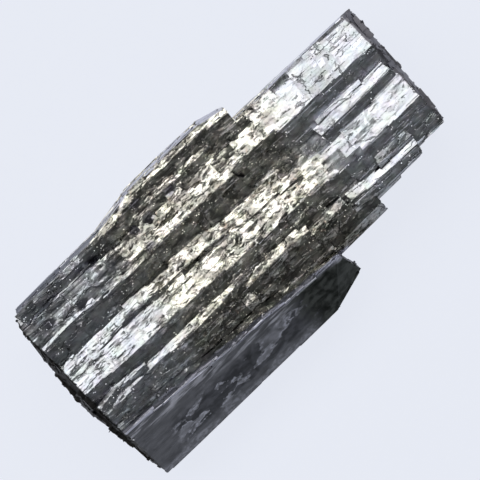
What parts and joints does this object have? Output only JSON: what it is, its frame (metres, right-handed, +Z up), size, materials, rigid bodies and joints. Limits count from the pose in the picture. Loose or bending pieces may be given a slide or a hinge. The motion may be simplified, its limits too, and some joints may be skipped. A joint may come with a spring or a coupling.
{
  "type": "molybdenite crystal",
  "caption": "Lead-grey metallic crystal specimen, a broken flattened prism of long parallel laths with ridged faces, lying on a flat side.",
  "frame": {"origin": "centre of the bounding box at the level of the face it rests on", "axes": "+X along the laths, the crystal's longest extent; +Z up, out of the ridged face"},
  "size_m": [0.0476, 0.0238, 0.0124],
  "materials": {
    "crystal": "metallic, semi-bright, streaked along its length"
  },
  "bodies": {
    "root": {"crystal": "crystal"}
  },
  "joints": []
}
